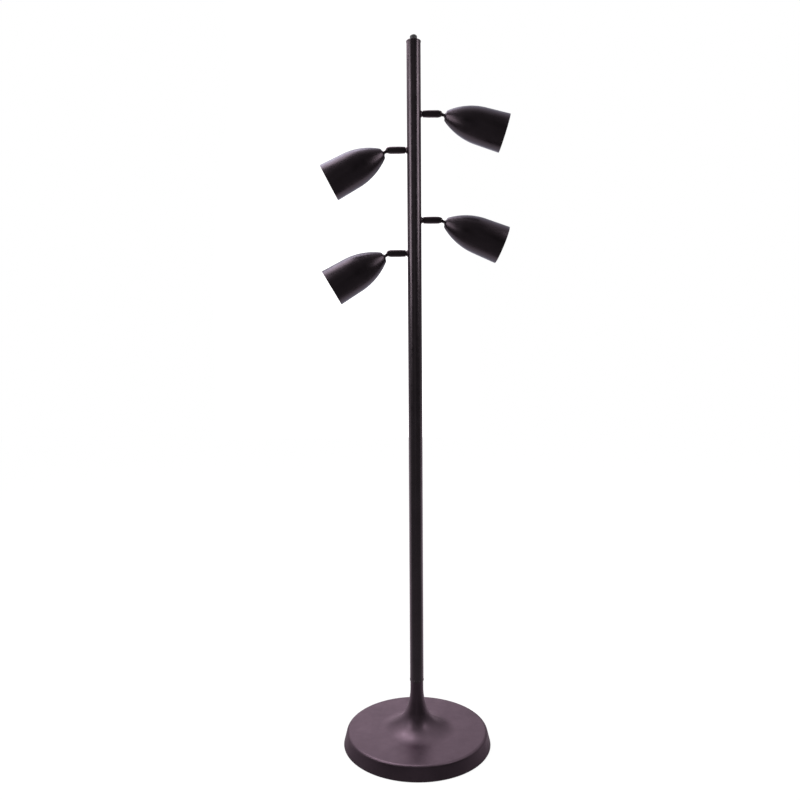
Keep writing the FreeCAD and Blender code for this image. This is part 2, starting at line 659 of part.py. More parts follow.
def shade_skin(inset):
    """Corner points and arc centres of the shade's section, this far inside its outer skin.

    The long curve of the bullet runs smoothly into the straight skirt and into the rounded nose.
    """
    skirt_angle = math.degrees(math.atan2(MOUTH_RADIUS - SKIRT_RADIUS, SHADE_LENGTH - SKIRT_START))
    outward = polar(1, -skirt_angle)
    skirt_start = V(SKIRT_RADIUS, 0, SKIRT_START)
    mouth = V(MOUTH_RADIUS, 0, SHADE_LENGTH)
    nose_centre = V(TIP_RADIUS, 0, NOSE_RADIUS)
    span = nose_centre - skirt_start
    bullet_radius = (NOSE_RADIUS ** 2 - span.dot(span)) / (span.dot(outward) + NOSE_RADIUS) / 2
    bullet_centre = skirt_start - outward * bullet_radius
    towards_nose = nose_centre - bullet_centre
    towards_nose.normalize()
    lift = V(0, 0, PIN_TO_SHADE)
    return {
        "tip": V(nose_centre.x, 0, inset) + lift,
        "nose_centre": nose_centre + lift,
        "nose_end": bullet_centre + towards_nose * (bullet_radius - inset) + lift,
        "bullet_centre": bullet_centre + lift,
        "skirt_start": skirt_start - outward * inset + lift,
        "mouth": mouth - outward * inset + lift,
    }


def shade():
    """Bullet-shaped shade: flat tip with the stud's hole, rounded nose, long curve and flared skirt."""
    outer = shade_skin(0)
    inner = shade_skin(SHADE_WALL)
    hole = STUD_RADIUS + SLIP
    section = Outline(hole, PIN_TO_SHADE).line_to(outer["tip"])
    section.arc_to(outer["nose_end"], outer["nose_centre"])
    section.arc_to(outer["skirt_start"], outer["bullet_centre"])
    section.line_to(outer["mouth"]).line_to(inner["mouth"]).line_to(inner["skirt_start"])
    section.arc_to(inner["nose_end"], inner["bullet_centre"])
    section.arc_to(inner["tip"], inner["nose_centre"])
    section.line(hole, PIN_TO_SHADE + SHADE_WALL)
    return section.turned()


def shade_nut_end():
    return PIN_TO_SHADE + SHADE_WALL + SHADE_NUT_THICKNESS


def shade_nut():
    return hexagon(SHADE_NUT_FLATS, STUD_RADIUS + SLIP, PIN_TO_SHADE + SHADE_WALL, shade_nut_end())


def socket_end():
    return PIN_TO_SHADE + SOCKET_FLOOR + SOCKET_DEPTH


def socket_shoulder():
    """Where the shade has grown wide enough for the lampholder's full radius."""
    skin = shade_skin(SHADE_WALL)
    centre = skin["bullet_centre"]
    reach = skin["skirt_start"].distanceToPoint(centre)
    return centre.z - math.sqrt(reach ** 2 - (SOCKET_RADIUS + SOCKET_GAP - centre.x) ** 2)


def lampholder():
    """Screw lampholder: a narrow collar on the stud and a deep cup for the bulb's base."""
    start = shade_nut_end()
    floor = PIN_TO_SHADE + SOCKET_FLOOR
    end = socket_end()
    collar_end = start + SOCKET_COLLAR_LENGTH
    stud_end = PIN_TO_SHADE + STUD_LENGTH
    section = Outline(STUD_RADIUS + SLIP, start).line(SOCKET_COLLAR, start).line(SOCKET_COLLAR, collar_end)
    section.line(SOCKET_RADIUS, socket_shoulder()).line(SOCKET_RADIUS, end - SOCKET_EDGE)
    section.line(SOCKET_RADIUS - SOCKET_EDGE, end).line(SOCKET_BORE, end).line(SOCKET_BORE, floor)
    section.line(0, floor).line(0, stud_end).line(STUD_RADIUS + SLIP, stud_end)
    return section.turned()


def bulb():
    """Globe bulb: contact tip, screw base and a hollow globe."""
    tip = PIN_TO_SHADE + SOCKET_FLOOR
    base_top = tip + BULB_BASE_LENGTH
    neck_start = socket_end() + PASSING
    neck_end = neck_start + GLOBE_NECK_LENGTH
    globe_centre = V(0, 0, neck_end) - V(0, 0, polar(GLOBE_RADIUS, -GLOBE_NECK_ANGLE).z)
    neck = globe_centre + polar(GLOBE_RADIUS, -GLOBE_NECK_ANGLE)
    end = globe_centre + V(0, 0, GLOBE_RADIUS)
    equator = globe_centre + polar(GLOBE_RADIUS, 0)
    section = Outline(0, tip).line(BULB_TIP_RADIUS, tip)
    section.line(BULB_BASE_RADIUS, tip + BULB_TIP_HEIGHT).line(BULB_BASE_RADIUS, neck_start)
    section.line_to(neck).arc_to(equator, globe_centre).arc_to(end, globe_centre)
    solid = section.turned()
    inner_neck = globe_centre + polar(GLOBE_RADIUS - GLOBE_WALL, -GLOBE_NECK_ANGLE)
    inner_equator = globe_centre + polar(GLOBE_RADIUS - GLOBE_WALL, 0)
    hollow = Outline(0, base_top).line(BULB_BASE_RADIUS - GLOBE_WALL, base_top)
    hollow.line(BULB_BASE_RADIUS - GLOBE_WALL, neck_start).line_to(inner_neck)
    hollow.arc_to(inner_equator, globe_centre).arc_to(end - V(0, 0, GLOBE_WALL), globe_centre)
    return solid.cut(hollow.turned())


# ------------------------------------------------------------------ lead inside the pole
def pole_lead():
    """Round lead that rises inside the centre pipe and the pole to the switch."""
    return bar(LEAD_RADIUS, PIPE_END, switch_floor())


# ------------------------------------------------------------------ all pieces, by name
def stand_pieces():
    return {
        "foot_pad": foot_pad(),
        "base_weight": base_weight(),
        "base_cover": base_cover(),
        "cord_bushing": cord_bushing(),
        "centre_pipe": centre_pipe(),
        "pipe_washer": pipe_washer(),
        "pipe_nut": pipe_nut(),
        "neck_collar": neck_collar(),
        "pole_foot_bush": pole_foot_bush(),
        "lower_pole": pole_section(POLE_FOOT, LOWER_SEAM),
        "lower_coupler": pole_coupler(LOWER_SEAM),
        "middle_pole": pole_section(LOWER_SEAM, UPPER_SEAM),
        "upper_coupler": pole_coupler(UPPER_SEAM),
        "upper_pole": upper_pole(),
        "pole_lead": pole_lead(),
        "top_cap": top_cap(),
        "switch_body": switch_body(),
        "switch_ring_nut": switch_ring_nut(),
        "arm_nuts": Part.makeCompound([on_arm(arm_nut(), head) for head in HEADS]),
        "switch_shaft": switch_shaft(),
        "switch_knob": switch_knob(),
    }


def head_pieces(head):
    return {
        "arm_seat_" + head.name: on_arm(arm_seat(), head),
        "arm_nipple_" + head.name: on_arm(arm_nipple(), head),
        "barrel_" + head.name: on_swivel(barrel(), head),
        "barrel_screws_" + head.name: on_swivel(barrel_screws(), head),
        "knuckle_" + head.name: on_head(knuckle(), head),
        "shade_" + head.name: on_head(shade(), head),
        "shade_nut_" + head.name: on_head(shade_nut(), head),
        "lampholder_" + head.name: on_head(lampholder(), head),
        "bulb_" + head.name: on_head(bulb(), head),
    }


pieces = stand_pieces()
for lamp_head in HEADS:
    pieces.update(head_pieces(lamp_head))

os.makedirs("parts", exist_ok=True)
for name, solid in pieces.items():
    solid.exportStep("parts/" + name + ".step")
print(len(pieces), "pieces,", "pole top at", POLE_TOP, "knob top at", knob_top())
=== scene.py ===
# %% [markdown]
# # A tree floor lamp in dark bronze
#
# A tree lamp is a straight pole on a heavy round foot, with a spot head on each of four arms. Its
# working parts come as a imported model, every piece at its real size and place. This lesson loads that
# model as a fixed frame, models by hand the pieces that deserve a finer shape, and then gives each
# surface its finish. Blender works in metres here, and +Z is up.

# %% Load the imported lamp
import json
import math

import bpy
import numpy as np
from mathutils import Matrix, Quaternion, Vector


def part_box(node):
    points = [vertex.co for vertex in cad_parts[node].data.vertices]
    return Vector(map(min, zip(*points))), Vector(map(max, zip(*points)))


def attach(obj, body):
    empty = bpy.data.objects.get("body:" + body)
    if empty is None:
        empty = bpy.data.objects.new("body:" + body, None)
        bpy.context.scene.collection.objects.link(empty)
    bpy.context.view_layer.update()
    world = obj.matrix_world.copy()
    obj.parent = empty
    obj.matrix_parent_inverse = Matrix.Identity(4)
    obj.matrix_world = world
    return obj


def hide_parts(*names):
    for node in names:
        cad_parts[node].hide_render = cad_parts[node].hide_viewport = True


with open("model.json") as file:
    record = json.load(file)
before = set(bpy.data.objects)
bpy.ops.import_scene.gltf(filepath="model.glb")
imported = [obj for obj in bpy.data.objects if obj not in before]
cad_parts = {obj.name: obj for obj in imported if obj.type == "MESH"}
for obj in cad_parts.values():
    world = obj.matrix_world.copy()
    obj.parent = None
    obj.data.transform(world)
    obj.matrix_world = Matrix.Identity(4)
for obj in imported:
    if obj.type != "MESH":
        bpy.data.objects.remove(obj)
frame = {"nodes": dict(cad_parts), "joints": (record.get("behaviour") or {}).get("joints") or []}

MM = 0.001
HEADS = ("upper_right", "upper_left", "lower_right", "lower_left")
nodes = frame["nodes"]
joints = {joint["name"]: joint for joint in frame["joints"]}
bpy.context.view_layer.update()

# %% [markdown]
# ## The camera
#
# A product photograph of something this tall is taken from a few steps away and a little over half its
# height, with the camera dipped so that the top of the foot shows. Those numbers were worked out once
# from the straight edges of the lamp in the picture. The picture also leans by a third of a degree, so
# the camera is rolled by it.

# %% Set up the camera
SENSOR_WIDTH = 36.0             # millimetres, as the lens is
LENS = 33.741
CAMERA_PLACE = (-33.3 * MM, -1622.25 * MM, 867.45 * MM)
CAMERA_DIP = math.radians(3.64)
CAMERA_ROLL = math.radians(-0.377)

scene = bpy.context.scene
scene.view_settings.view_transform = "Standard"
camera_data = bpy.data.cameras.new("portrait_camera")
camera_data.lens = LENS
camera_data.sensor_width = SENSOR_WIDTH
camera_data.dof.use_dof = False
camera = bpy.data.objects.new("portrait_camera", camera_data)
level_and_dipped = Matrix.Rotation(math.radians(90) - CAMERA_DIP, 4, "X")
rolled = Matrix.Rotation(CAMERA_ROLL, 4, "Z")
camera.matrix_world = Matrix.Translation(CAMERA_PLACE) @ level_and_dipped @ rolled
scene.collection.objects.link(camera)
scene.camera = camera
print("camera", [round(place, 3) for place in camera.location], "lens", LENS)

# %% [markdown]
# ## White surroundings
#
# The lamp stands in a white studio. Dark paint shows its surroundings more than its own colour, so the
# room matters: it is white above the lamp, a little brighter on the left, dim along the horizon but for
# a bright backdrop right behind the lamp, and nearly dark on the photographer's side, where a real
# studio keeps its lights off. The camera sees plain white everywhere. Diffuse light gets a separate,
# even level, so that a colour renders about as it is written.

# %% Build the studio room
AMBIENT = 0.42                  # even light from all round
ROOM_FRONT = 0.11               # what a reflection finds behind the photographer, where 1 is white
ROOM_BACK = 1.0                 # and behind the lamp
ROOM_TURN = (-0.45, 0.30)       # where along Y, on the unit sphere, the one turns into the other
ROOM_HORIZON = 0.28             # share of that brightness at the horizon
ROOM_RISE = (0.20, 0.70)        # heights on the unit sphere between which the rest comes in
ROOM_SIDES = (1.25, 0.70)       # share of it on the left and on the right
ROOM_SPAN = (-0.5, 0.5)         # where along X, on the unit sphere, the sides begin
BACKDROP = (1.45, 1.05)         # the backdrop's own brightness, at the horizon and above
BACKDROP_RISE = (0.05, 0.35)    # heights on the unit sphere between which that changes
BACKDROP_LEFT = (-0.34, -0.18)  # where along X it fades in
BACKDROP_RIGHT = (0.0, 0.28)    # and where it fades out


def add_node(tree, kind, **settings):
    """A shader node of one kind, with its settings made."""
    node = tree.nodes.new("ShaderNode" + kind)
    for setting, value in settings.items():
        setattr(node, setting, value)
    return node


def combine(tree, operation, first, second=None):
    """The result of a sum between sockets or numbers."""
    node = add_node(tree, "Math", operation=operation)
    for place, value in enumerate((first, second)):
        if isinstance(value, (int, float)):
            node.inputs[place].default_value = value
        elif value is not None:
            tree.links.new(value, node.inputs[place])
    return node.outputs[0]


def remap(tree, value, old, new, smooth=False):
    """A socket's value taken from one range to another, and kept inside it."""
    node = add_node(tree, "MapRange", clamp=True, interpolation_type="SMOOTHSTEP" if smooth else "LINEAR")
    tree.links.new(value, node.inputs["Value"])
    for name, number in zip(("From Min", "From Max", "To Min", "To Max"), (*old, *new)):
        node.inputs[name].default_value = number
    return node.outputs["Result"]


def seen_or_mirrored(tree):
    """Two sockets: 1 on a camera ray, and 1 on that or on a ray off gloss or through glass."""
    path = add_node(tree, "LightPath")
    mirrored = combine(tree, "MAXIMUM", path.outputs["Is Glossy Ray"], path.outputs["Is Transmission Ray"])
    return path.outputs["Is Camera Ray"], combine(tree, "MAXIMUM", path.outputs["Is Camera Ray"], mirrored)


world = bpy.data.worlds.new("white_studio")
scene.world = world
world.use_nodes = True
room = world.node_tree
room.nodes.clear()
direction = add_node(room, "SeparateXYZ")
room.links.new(add_node(room, "TexCoord").outputs["Generated"], direction.inputs[0])
depth_share = remap(room, direction.outputs["Y"], ROOM_TURN, (ROOM_FRONT, ROOM_BACK), smooth=True)
height_share = remap(room, direction.outputs["Z"], ROOM_RISE, (ROOM_HORIZON, 1), smooth=True)
side_share = remap(room, direction.outputs["X"], ROOM_SPAN, ROOM_SIDES)
from_left = remap(room, direction.outputs["X"], BACKDROP_LEFT, (0, 1), smooth=True)
to_right = remap(room, direction.outputs["X"], BACKDROP_RIGHT, (1, 0), smooth=True)
backdrop_level = remap(room, direction.outputs["Z"], BACKDROP_RISE, BACKDROP, smooth=True)
backdrop = combine(room, "MULTIPLY", backdrop_level, combine(room, "MULTIPLY", from_left, to_right))
walls = combine(room, "MULTIPLY", height_share, side_share)
brightness = combine(room, "MULTIPLY", depth_share, combine(room, "MAXIMUM", walls, backdrop))
to_camera, shown = seen_or_mirrored(room)
even_light = add_node(room, "Background")
even_light.inputs["Strength"].default_value = AMBIENT
white_room = add_node(room, "Background")
room.links.new(combine(room, "MAXIMUM", brightness, to_camera), white_room.inputs["Strength"])
both = add_node(room, "MixShader")
room.links.new(shown, both.inputs["Fac"])
room.links.new(even_light.outputs[0], both.inputs[1])
room.links.new(white_room.outputs[0], both.inputs[2])
room.links.new(both.outputs[0], add_node(room, "OutputWorld").inputs["Surface"])
for light in (even_light, white_room):
    light.inputs["Color"].default_value = (1, 1, 1, 1)
print("room:", AMBIENT, "even light, white to the camera")

# %% [markdown]
# ## The floor
#
# A seamless paper floor. It is pale and catches the lamp's soft shadow, and its own white makes up the
# rest of the brightness, so that it runs into the white room with no horizon. Reflections find it white
# under the lamp's back half and dimmer in front, as they find the room.

# %% Lay the paper floor
FLOOR_SIZE = 12.0
FLOOR_PAPER = 0.20              # how much light the paper sends back
FLOOR_GLOW = 0.915              # its own white to the camera
FLOOR_MIRRORED = (0.02, 0.78)   # what reflections find, in front of the lamp and behind it
FLOOR_TURN = (-0.30, 0.55)      # metres along Y over which that changes

bpy.ops.object.select_all(action="DESELECT")
bpy.ops.mesh.primitive_plane_add(size=FLOOR_SIZE, location=(0, 0, 0))
floor = bpy.context.object
floor.name = "paper_floor"
paper = bpy.data.materials.new("floor_paper")
paper.use_nodes = True
floor_tree = paper.node_tree
paper_shader = floor_tree.nodes["Principled BSDF"]
paper_shader.inputs["Base Color"].default_value = (FLOOR_PAPER, FLOOR_PAPER, FLOOR_PAPER, 1)
paper_shader.inputs["Roughness"].default_value = 0.9
paper_shader.inputs["Specular IOR Level"].default_value = 0.0
paper_shader.inputs["Emission Color"].default_value = (1, 1, 1, 1)
floor_place = add_node(floor_tree, "SeparateXYZ")
floor_tree.links.new(add_node(floor_tree, "TexCoord").outputs["Object"], floor_place.inputs[0])
mirrored_floor = remap(floor_tree, floor_place.outputs["Y"], FLOOR_TURN, FLOOR_MIRRORED, smooth=True)
to_camera, shown = seen_or_mirrored(floor_tree)
glow = combine(floor_tree, "MAXIMUM", combine(floor_tree, "MULTIPLY", to_camera, FLOOR_GLOW),
               combine(floor_tree, "MULTIPLY", shown, mirrored_floor))
floor_tree.links.new(glow, paper_shader.inputs["Emission Strength"])
floor.data.materials.append(paper)
print("floor", FLOOR_SIZE, "m across")

# %% [markdown]
# ## Softboxes
#
# Two tall softboxes stand to the left and right of the lamp. They draw the two long stripes on the
# pole, from the top to about its middle, because their lower edges hang more than a metre above the
# floor. A third hangs overhead and brightens the foot. A softbox's brightness is what its reflection
# shows, and its energy follows from its size.

# %% Hang the softboxes
def softbox(name, place, aim, width, height, radiance):
    """An area lamp whose face has a given brightness, where 1 is white."""
    data = bpy.data.lights.new(name, "AREA")
    data.shape = "RECTANGLE"
    data.size = width
    data.size_y = height
    data.energy = math.pi * width * height * radiance
    box = bpy.data.objects.new(name, data)
    box.location = place
    box.rotation_euler = (Vector(aim) - Vector(place)).to_track_quat("-Z", "Y").to_euler()
    box.visible_camera = False
    scene.collection.objects.link(box)
    print(name, "energy", round(data.energy, 2))
    return box


SIDE_DISTANCE = 1.15
SIDE_AZIMUTH = math.radians(68)     # from the photographer's direction, as seen from the pole
side_x = SIDE_DISTANCE * math.sin(SIDE_AZIMUTH)
side_y = -SIDE_DISTANCE * math.cos(SIDE_AZIMUTH)
softbox("softbox_left", (-side_x, side_y, 1.49), (0, 0, 1.49), 0.50, 0.90, 3.1)
softbox("softbox_right", (side_x, side_y, 1.66), (0, 0, 1.66), 0.50, 0.86, 3.1)
softbox("softbox_top", (-0.75, 0.50, 2.35), (0, 0, 0), 1.3, 1.1, 3.0)

# %% [markdown]
# ## How a finish is built
#
# Every finish starts from one Principled shader. Its steady values are set on the shader's own sockets,
# and what varies over the surface comes from patterns: broad clouds for the colour, smaller ones for
# the gloss, and a fine grain for the relief. Patterns are read in metres from the object's own
# coordinates, so a cloud has the same size on every piece. The shade, lampholder and bulb modelled
# below remember where each point was on the workbench, so that their patterns run round their own axis.

# %% Helpers for finishes
WHITE = (1.0, 1.0, 1.0)
BENCH = "bench"                 # the attribute that holds the workbench coordinates
CLOUD_RANGE = (0.3, 0.7)        # nearly all of a noise lies between these
WAVE_RATE = 20                  # radians of the wave pattern in one unit of scaled distance
RUB_TURN = (0.99, 0.80)         # cosines of the turns where rubbing starts and where it is full


class Finish:
    """One material: a Principled shader and the patterns that vary it."""

    def __init__(self, name, roughness, metallic=0.0, specular=0.5, tint=WHITE, on_bench=False):
        self.material = bpy.data.materials.new(name)
        self.material.use_nodes = True
        self.tree = self.material.node_tree
        self.shader = self.tree.nodes["Principled BSDF"]
        self.shader.inputs["Roughness"].default_value = roughness
        self.shader.inputs["Metallic"].default_value = metallic
        self.shader.inputs["Specular IOR Level"].default_value = specular
        self.shader.inputs["Specular Tint"].default_value = (*tint, 1)
        if on_bench:
            self.coordinates = add_node(self.tree, "Attribute", attribute_name=BENCH).outputs["Vector"]
        else:
            self.coordinates = add_node(self.tree, "TexCoord").outputs["Object"]
        self.relief = None

    def stretched(self, stretch):
        mapping = add_node(self.tree, "Mapping")
        mapping.inputs["Scale"].default_value = stretch
        self.tree.links.new(self.coordinates, mapping.inputs["Vector"])
        return mapping.outputs["Vector"]

    def clouds(self, size, detail=3.0, stretch=(1, 1, 1)):
        """Soft noise whose clouds are about this many metres across."""
        noise = add_node(self.tree, "TexNoise")
        noise.inputs["Scale"].default_value = 1 / size
        noise.inputs["Detail"].default_value = detail
        self.tree.links.new(self.stretched(stretch), noise.inputs["Vector"])
        return noise.outputs["Fac"]

    def cells(self, size):
        """Distance to the nearest of many scattered points."""
        pattern = add_node(self.tree, "TexVoronoi")
        pattern.inputs["Scale"].default_value = 1 / size
        self.tree.links.new(self.coordinates, pattern.inputs["Vector"])
        return pattern.outputs["Distance"]

    def rings(self, reach):
        """Rings round the Z axis, as a spinning tool leaves them; one wave takes 2 pi times the reach."""
        wave = add_node(self.tree, "TexWave", wave_type="RINGS", rings_direction="Z", wave_profile="SIN")
        wave.inputs["Scale"].default_value = 1 / (reach * WAVE_RATE)
        wave.inputs["Distortion"].default_value = 1.5
        wave.inputs["Detail"].default_value = 1.0
        wave.inputs["Detail Scale"].default_value = 0.3
        self.tree.links.new(self.coordinates, wave.inputs["Vector"])
        return wave.outputs["Fac"]

    def blend(self, factor, first, second):
        """One colour where the factor is 0, another where it is 1. Either may be a socket."""
        mix = add_node(self.tree, "Mix", data_type="RGBA")
        self.tree.links.new(factor, mix.inputs["Factor"])
        for socket, colour in (("A_Color", first), ("B_Color", second)):
            place = next(i for i in mix.inputs if i.identifier == socket)
            if isinstance(colour, tuple):
                place.default_value = (*colour, 1)
            else:
                self.tree.links.new(colour, place)
        return next(o for o in mix.outputs if o.identifier == "Result_Color")

    def set_colour(self, socket):
        self.tree.links.new(socket, self.shader.inputs["Base Color"])

    def set_roughness(self, socket):
        self.tree.links.new(socket, self.shader.inputs["Roughness"])

    def emboss(self, height, depth):
        """Relief this many metres deep, added to what is there already."""
        bump = add_node(self.tree, "Bump")
        bump.inputs["Distance"].default_value = depth
        self.tree.links.new(height, bump.inputs["Height"])
        if self.relief:
            self.tree.links.new(self.relief, bump.inputs["Normal"])
        self.relief = bump.outputs["Normal"]
        self.tree.links.new(self.relief, self.shader.inputs["Normal"])

    def edges(self, reach):
        """1 along sharp edges and 0 elsewhere, where hands and dusters rub."""
        rounded = add_node(self.tree, "Bevel", samples=4)
        rounded.inputs["Radius"].default_value = reach
        flat = add_node(self.tree, "NewGeometry")
        dot = add_node(self.tree, "VectorMath", operation="DOT_PRODUCT")
        self.tree.links.new(rounded.outputs["Normal"], dot.inputs[0])
        self.tree.links.new(flat.outputs["Normal"], dot.inputs[1])
        return remap(self.tree, dot.outputs["Value"], RUB_TURN, (0, 1))


# %% [markdown]
# ## Dark bronze paint
#
# The metal is sprayed with a dark bronze paint, full of fine metal flakes with a little mauve in them,
# then baked. So nearly all that it shows is reflection, in the colour of the flakes, and softboxes are
# clear bands with soft edges. Up close it has the faint orange peel of sprayed paint, clouds where the
# coat is thicker, and slightly lighter edges. The four bronze finishes share this recipe and differ in
# gloss, in depth of colour and in the marks of how the metal under the paint was made. The shades have
# the same paint as the pole, but their colour is set darker and their reflections at a slant bluer:
# that is painted shade, standing in for the dimmer light that falls on them.

# %% Mix the bronze paints
PAINT_TINT = (1.0, 0.86, 0.95)  # colour of what the flakes mirror at a slant
# painted reflection colour: the shades get bluer reflections at a slant than the same paint on the pole
SHADE_TINT = (0.88, 0.88, 1.0)  # the same on the shades
PAINT_FLAKES = 0.95             # share of the surface that reflects as metal
RUBBED = (1.8, 1.7, 1.6)        # how much lighter the paint is where it is rubbed
CLOUD_SIZE = 45 * MM
GLOSS_CLOUD_SIZE = 16 * MM
GLOSS_PLAY = (-0.04, 0.05)      # by how much the roughness varies
PEEL_SIZE = 1.3 * MM
PEEL_DEPTH = 0.005 * MM
EDGE_REACH = 0.5 * MM


def bronze_paint(name, dark, light, roughness, tint=PAINT_TINT, on_bench=False):
    """Baked dark bronze paint, between two shades of its colour."""
    paint = Finish(name, roughness, metallic=PAINT_FLAKES, tint=tint, on_bench=on_bench)
    clouds = remap(paint.tree, paint.clouds(CLOUD_SIZE), CLOUD_RANGE, (0, 1))
    coat = paint.blend(clouds, dark, light)
    worn = tuple(min(1.0, channel * gain) for channel, gain in zip(light, RUBBED))
    rubbed = combine(paint.tree, "MULTIPLY", paint.edges(EDGE_REACH), paint.clouds(GLOSS_CLOUD_SIZE))
    paint.set_colour(paint.blend(rubbed, coat, worn))
    gloss_clouds = paint.clouds(GLOSS_CLOUD_SIZE, detail=5)
    gloss = (roughness + GLOSS_PLAY[0], roughness + GLOSS_PLAY[1])
    paint.set_roughness(remap(paint.tree, gloss_clouds, CLOUD_RANGE, gloss))
    paint.emboss(paint.clouds(PEEL_SIZE, detail=1), PEEL_DEPTH)
    return paint


DRAWN_SIZE = 3 * MM             # width of the marks that drawing leaves along a tube
DRAWN_STRETCH = (1, 1, 0.04)
DRAWN_DEPTH = 0.004 * MM
BASE_SPUN = (2.5 * MM, 0.008 * MM)     # reach and depth of the rings that spinning leaves
SHADE_SPUN = (1.8 * MM, 0.006 * MM)

pole_paint = bronze_paint("bronze_pole", (0.102, 0.081, 0.094), (0.124, 0.099, 0.115), 0.30)
pole_paint.emboss(pole_paint.clouds(DRAWN_SIZE, stretch=DRAWN_STRETCH), DRAWN_DEPTH)
base_paint = bronze_paint("bronze_base", (0.116, 0.080, 0.104), (0.142, 0.098, 0.127), 0.40)
base_paint.emboss(base_paint.rings(BASE_SPUN[0]), BASE_SPUN[1])
arm_paint = bronze_paint("bronze_arm", (0.056, 0.042, 0.050), (0.074, 0.056, 0.066), 0.36)
# painted shade: the shades carry the pole's paint, and these darker colours stand in for the dimmer light
# on them
shade_paint = bronze_paint("bronze_shade", (0.060, 0.046, 0.055), (0.076, 0.058, 0.070), 0.33,
                           tint=SHADE_TINT, on_bench=True)
shade_paint.emboss(shade_paint.rings(SHADE_SPUN[0]), SHADE_SPUN[1])
print("bronze paints:", pole_paint.material.name, base_paint.material.name, arm_paint.material.name,
      shade_paint.material.name)

# %% [markdown]
# ## The other finishes
#
# The rest is what such a lamp is made of: zinc-plated nuts and screws, a rough iron casting in the
# foot, a foam pad under it, moulded plastic for the knob and the bushing, black phenolic for the
# lampholders, and white enamel inside the shades. Each one gets its own grain, because a smooth casting
# or a shiny foam reads as wrong at once.

# %% Mix the other finishes
COLOUR_SPREAD = 12              # size of the clouds of colour, in grains
GLOSS_SPREAD = 5                # and of the clouds of gloss
ROUGHNESS_PLAY = 0.06           # how far the roughness goes to each side
FOAM_CELL = 1.2 * MM


def plain_finish(name, dark, light, roughness, grain, depth, metallic=0.0, specular=0.5, on_bench=False):
    """A material with clouds of colour and gloss, and a grain of a given size and depth."""
    finish = Finish(name, roughness, metallic=metallic, specular=specular, on_bench=on_bench)
    finish.set_colour(finish.blend(finish.clouds(grain * COLOUR_SPREAD), dark, light))
    gloss = (roughness - ROUGHNESS_PLAY, roughness + ROUGHNESS_PLAY)
    finish.set_roughness(remap(finish.tree, finish.clouds(grain * GLOSS_SPREAD), CLOUD_RANGE, gloss))
    finish.emboss(finish.clouds(grain, detail=2), depth)
    return finish


knob_plastic = plain_finish("knob_plastic", (0.075, 0.071, 0.078), (0.100, 0.096, 0.104), 0.40,
                            0.6 * MM, 0.02 * MM)
zinc = plain_finish("zinc_steel", (0.42, 0.43, 0.44), (0.58, 0.58, 0.57), 0.34, 0.8 * MM, 0.01 * MM,
                    metallic=1.0)
blackened = plain_finish("blackened_steel", (0.020, 0.018, 0.019), (0.036, 0.033, 0.034), 0.38,
                         0.8 * MM, 0.01 * MM, metallic=0.6)
cast_iron = plain_finish("cast_weight", (0.045, 0.043, 0.042), (0.085, 0.078, 0.072), 0.72,
                         2.2 * MM, 0.25 * MM)
bushing = plain_finish("bushing_plastic", (0.010, 0.010, 0.010), (0.016, 0.016, 0.016), 0.45,
                       0.5 * MM, 0.02 * MM)
lead_jacket = plain_finish("lead_jacket", (0.020, 0.019, 0.018), (0.032, 0.030, 0.029), 0.55,
                           0.6 * MM, 0.02 * MM)
phenolic = plain_finish("phenolic", (0.012, 0.009, 0.008), (0.022, 0.015, 0.012), 0.30, 0.7 * MM,
                        0.01 * MM, on_bench=True)
enamel = plain_finish("white_enamel", (0.66, 0.65, 0.62), (0.74, 0.73, 0.71), 0.32, 1.1 * MM,
                      0.012 * MM, on_bench=True)
brass = plain_finish("plated_cap", (0.60, 0.57, 0.50), (0.72, 0.70, 0.64), 0.26, 0.7 * MM,
                     0.008 * MM, metallic=1.0, on_bench=True)

pad_foam = Finish("pad_foam", 0.85, specular=0.2)
pad_foam.set_colour(pad_foam.blend(pad_foam.cells(FOAM_CELL), (0.010, 0.010, 0.010),
                                   (0.030, 0.029, 0.028)))
pad_foam.emboss(pad_foam.cells(FOAM_CELL), 0.3 * MM)

frosted = Finish("frosted_glass", 0.38, specular=0.5, on_bench=True)
frosted.set_colour(frosted.blend(frosted.clouds(9 * MM), (0.78, 0.77, 0.73), (0.86, 0.85, 0.82)))
frosted.emboss(frosted.clouds(0.5 * MM, detail=1), 0.004 * MM)
frosted.shader.inputs["Subsurface Weight"].default_value = 0.25
frosted.shader.inputs["Subsurface Radius"].default_value = (3 * MM, 3 * MM, 2.6 * MM)
frosted.shader.inputs["Subsurface Scale"].default_value = 1.0
frosted.shader.inputs["Coat Weight"].default_value = 0.15
print("mixed", len(bpy.data.materials), "materials in all, with those that came with the packed pieces")

# %% [markdown]
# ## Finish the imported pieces
#
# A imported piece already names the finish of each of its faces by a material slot. Its shape is right as
# it is, so it stays, and only the material in the slot is exchanged. The screws in the arms are
# blackened, because the picture shows no bright screw head there.

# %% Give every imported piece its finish
FINISHES = {
    "bronze_pole": pole_paint,
    "bronze_base": base_paint,
    "bronze_arm": arm_paint,
    "bronze_shade": shade_paint,
    "knob_plastic": knob_plastic,
    "zinc_steel": zinc,
    "cast_weight": cast_iron,
    "pad_foam": pad_foam,
    "bushing_plastic": bushing,
    "lead_jacket": lead_jacket,
    "phenolic": phenolic,
    "bulb_shell": frosted,
}


def slot_of(name):
    """A material's slot name, without the number that an import may add."""
    return name.split(".")[0]


for name, node in nodes.items():
    for place in node.material_slots:
        finish = blackened if name.startswith("barrel_screws") else FINISHES[slot_of(place.material.name)]
        place.material = finish.material
print("finished", len(nodes), "packed pieces with", len(FINISHES), "finishes")

# %% [markdown]
# ## A workbench for the heads
#
# The four heads are the same parts, pointed differently. Each part is modelled once on the workbench,
# upright, with the knuckle's pin at the origin and the shade opening towards +Z, and then copied onto
# its four heads. A head's place and lean are read from its two joints: the pin is where the tilt joint
# is, and the tilt's range is the same to both sides of straight, so its middle says how far the head
# leans from its arm.

